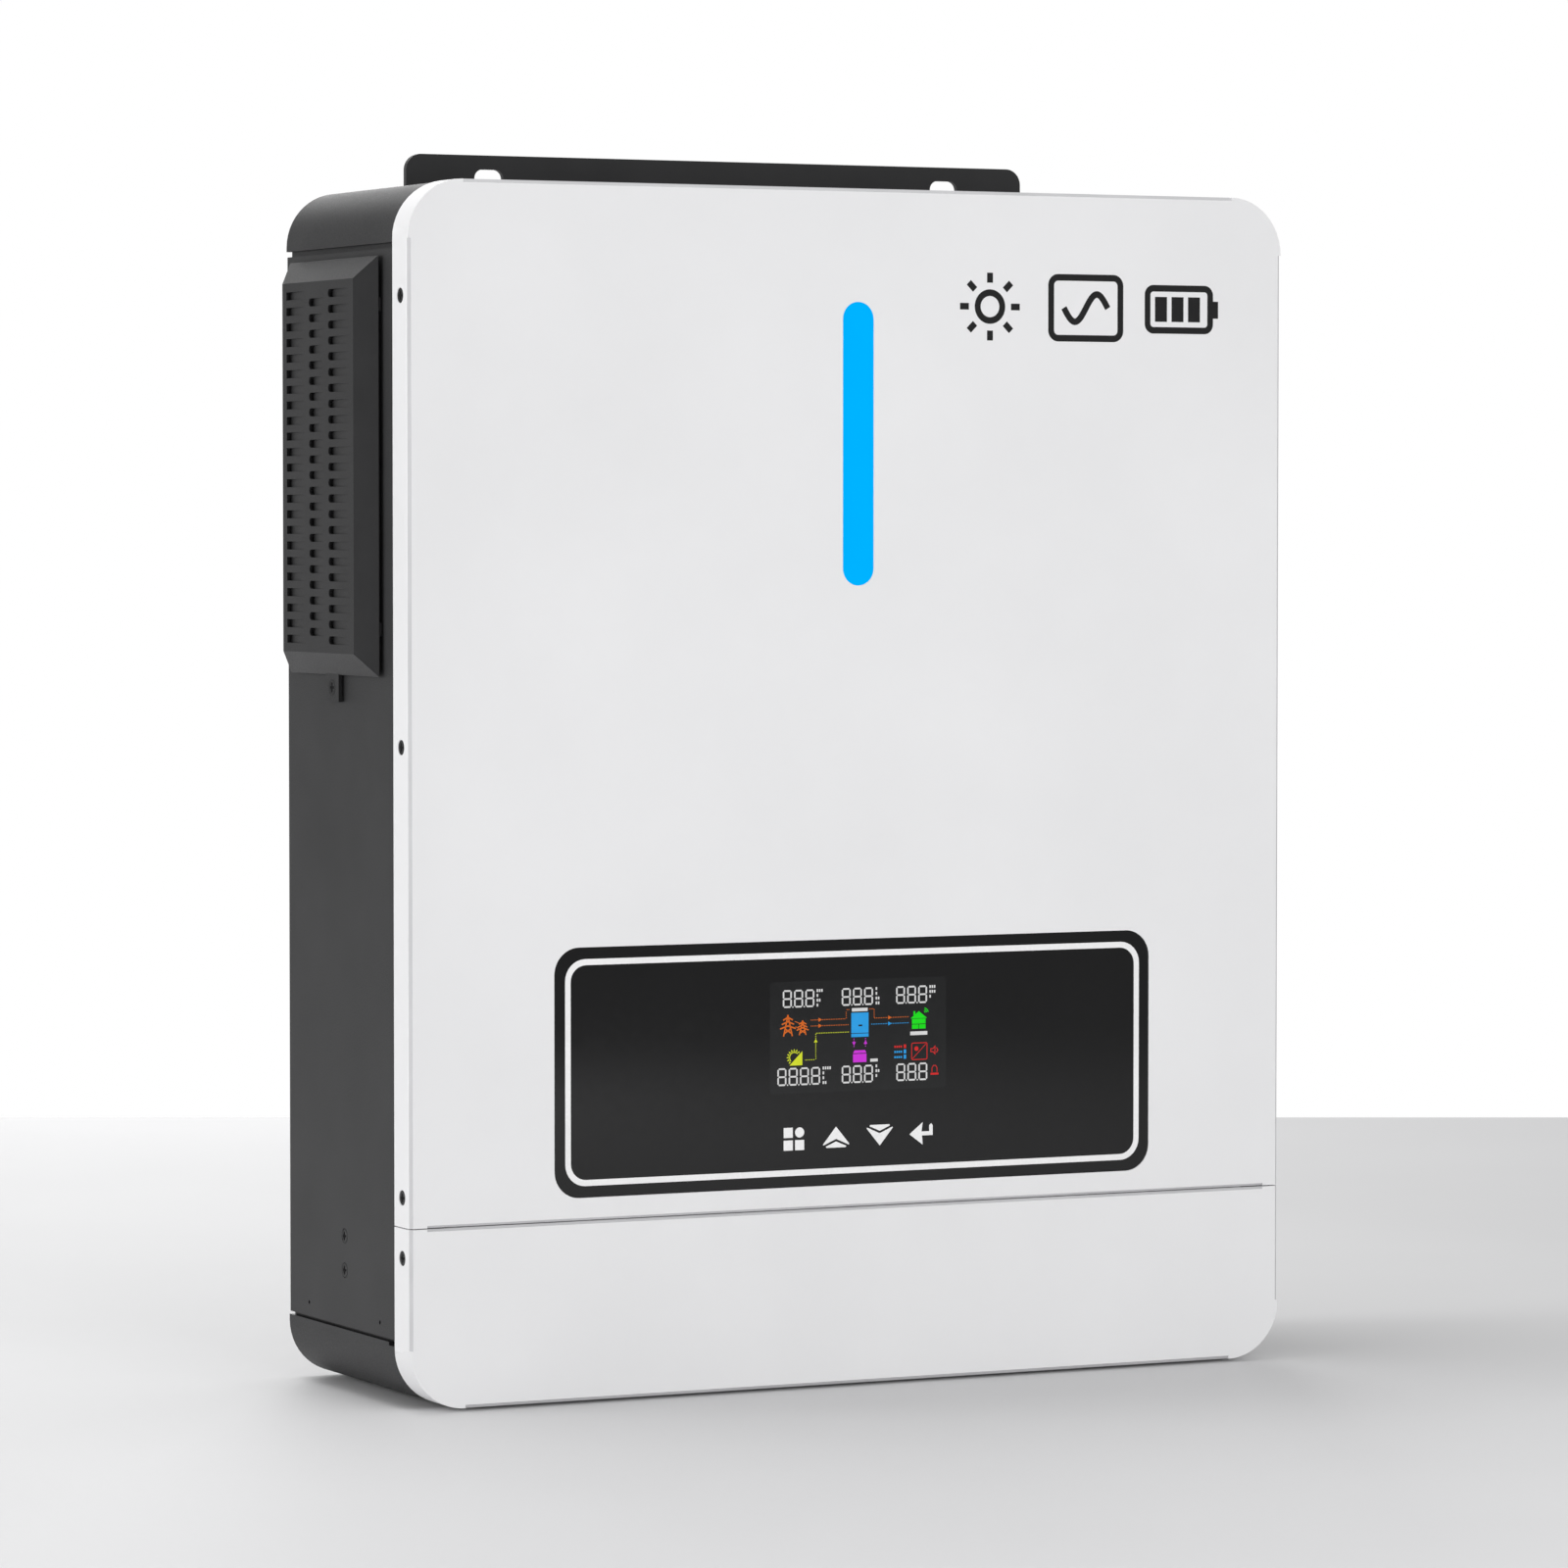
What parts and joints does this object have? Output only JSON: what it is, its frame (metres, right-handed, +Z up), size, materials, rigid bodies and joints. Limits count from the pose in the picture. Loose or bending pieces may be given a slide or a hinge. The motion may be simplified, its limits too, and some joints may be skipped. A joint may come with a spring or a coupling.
{
  "type": "hybrid solar inverter",
  "caption": "Wall-hung solar inverter: flat white cover with light bar, black screen window and touch keys, dark casing, side fans behind a dust cover, lift-off wiring cover.",
  "frame": {"origin": "on the base plane, half way across the casing's width and half way through its depth", "axes": "+X to the right seen from the front, +Y from the display side to the wall, +Z up"},
  "size_m": [0.2975, 0.097, 0.3705],
  "materials": {
    "cover_white": "fine satin powder coat",
    "chassis_black": "fine textured black powder coat",
    "black_screw": "black oxide",
    "zinc_screw": "zinc plated",
    "zinc_sheet": "zinc coated sheet",
    "window_gloss": "polished black acrylic",
    "lcd_dark": "dark glossy screen",
    "light_blue": "translucent diffuser lit from behind",
    "board_green": "green solder mask",
    "board_blue": "blue solder mask",
    "spring_steel": "bright spring steel",
    "ribbon_grey": "flat cable jacket",
    "moulded_black": "moulded black plastic",
    "rotor_black": "moulded dark grey plastic",
    "moulded_red": "moulded red plastic",
    "moulded_white": "moulded white plastic",
    "grommet_rubber": "soft matt rubber",
    "port_metal": "plated shield",
    "brass_part": "bright brass",
    "copper_part": "copper",
    "tape_yellow": "yellow winding tape",
    "ferrite": "sintered ferrite",
    "toroid_green": "coated powder core",
    "heatsink_alu": "extruded aluminium",
    "capacitor_sleeve": "shrink sleeve",
    "relay_case": "moulded blue case",
    "filter_mesh": "woven nylon mesh in a frame"
  },
  "bodies": {
    "chassis": {"back_plate": "chassis_black", "wall_bracket": "chassis_black", "bracket_screws": "zinc_screw", "top_shell": "chassis_black", "bottom_shell": "chassis_black", "left_side_panel": "chassis_black", "right_side_panel": "chassis_black", "side_panel_screws": "black_screw", "back_screws": "zinc_screw", "front_cover": "cover_white", "front_cover_screws": "black_screw", "display_window": "window_gloss", "lcd_module": "lcd_dark", "touch_board": "board_green", "touch_springs": "spring_steel", "led_light_guide": "light_blue", "led_board": "board_green", "display_ribbon": "ribbon_grey", "partition_plate": "zinc_sheet", "connection_panel": "chassis_black", "terminal_rail": "zinc_sheet", "ac_terminal_block": "moulded_black", "pv_terminal_block": "moulded_black", "terminal_screws": "zinc_screw", "battery_terminal_base": "moulded_red", "battery_terminals": "copper_part", "battery_bolts": "zinc_screw", "cable_grommets": "grommet_rubber", "rocker_housing": "moulded_black", "breaker_housing": "moulded_black", "comm_board": "board_green", "data_ports": "port_metal", "earth_stud": "brass_part", "power_board": "board_green", "board_standoffs": "brass_part", "board_screws": "zinc_screw", "heatsink_upper": "heatsink_alu", "heatsink_lower": "heatsink_alu", "power_transistors": "moulded_black", "transformer_cores": "ferrite", "transformer_windings": "tape_yellow", "inductor_cores": "toroid_green", "inductor_windings": "copper_part", "bus_capacitors": "capacitor_sleeve", "battery_capacitors": "capacitor_sleeve", "relays": "relay_case", "control_board": "board_blue", "control_chips": "moulded_black", "fan_frame_upper": "moulded_black", "fan_frame_lower": "moulded_black", "fan_screws": "black_screw"},
    "wiring_cover": {"wiring_cover": "cover_white", "wiring_cover_screws": "black_screw"},
    "vent_cover": {"vent_cover": "chassis_black", "dust_filter": "filter_mesh", "vent_screw": "black_screw"},
    "fan_rotor_upper": {"fan_rotor_upper": "rotor_black"},
    "fan_rotor_lower": {"fan_rotor_lower": "rotor_black"},
    "power_rocker": {"power_rocker": "moulded_red"},
    "breaker_button": {"breaker_button": "moulded_white"}
  },
  "joints": [
    {"name": "wiring_cover_slide", "type": "slide", "parent": "chassis", "child": "wiring_cover", "axis": [0, -1, 0], "range_m": [0, 0.045]},
    {"name": "vent_cover_slide", "type": "slide", "parent": "chassis", "child": "vent_cover", "axis": [-1, 0, 0], "range_m": [0, 0.03]},
    {"name": "fan_spin_upper", "type": "hinge", "parent": "chassis", "child": "fan_rotor_upper", "pos_m": [-0.1315, 0.00795, 0.30515], "axis": [1, 0, 0], "continuous": true},
    {"name": "fan_spin_lower", "type": "hinge", "parent": "chassis", "child": "fan_rotor_lower", "pos_m": [-0.1315, 0.00795, 0.24435], "axis": [1, 0, 0], "continuous": true},
    {"name": "power_rocker_tilt", "type": "hinge", "parent": "chassis", "child": "power_rocker", "pos_m": [-0.112, -0.0155, 0.013], "axis": [0, 1, 0], "range_deg": [-16, 0]},
    {"name": "breaker_press", "type": "slide", "parent": "chassis", "child": "breaker_button", "axis": [0, 0, 1], "range_m": [0, 0.003], "stiffness_N_per_m": 300, "springref_m": -0.001}
  ]
}
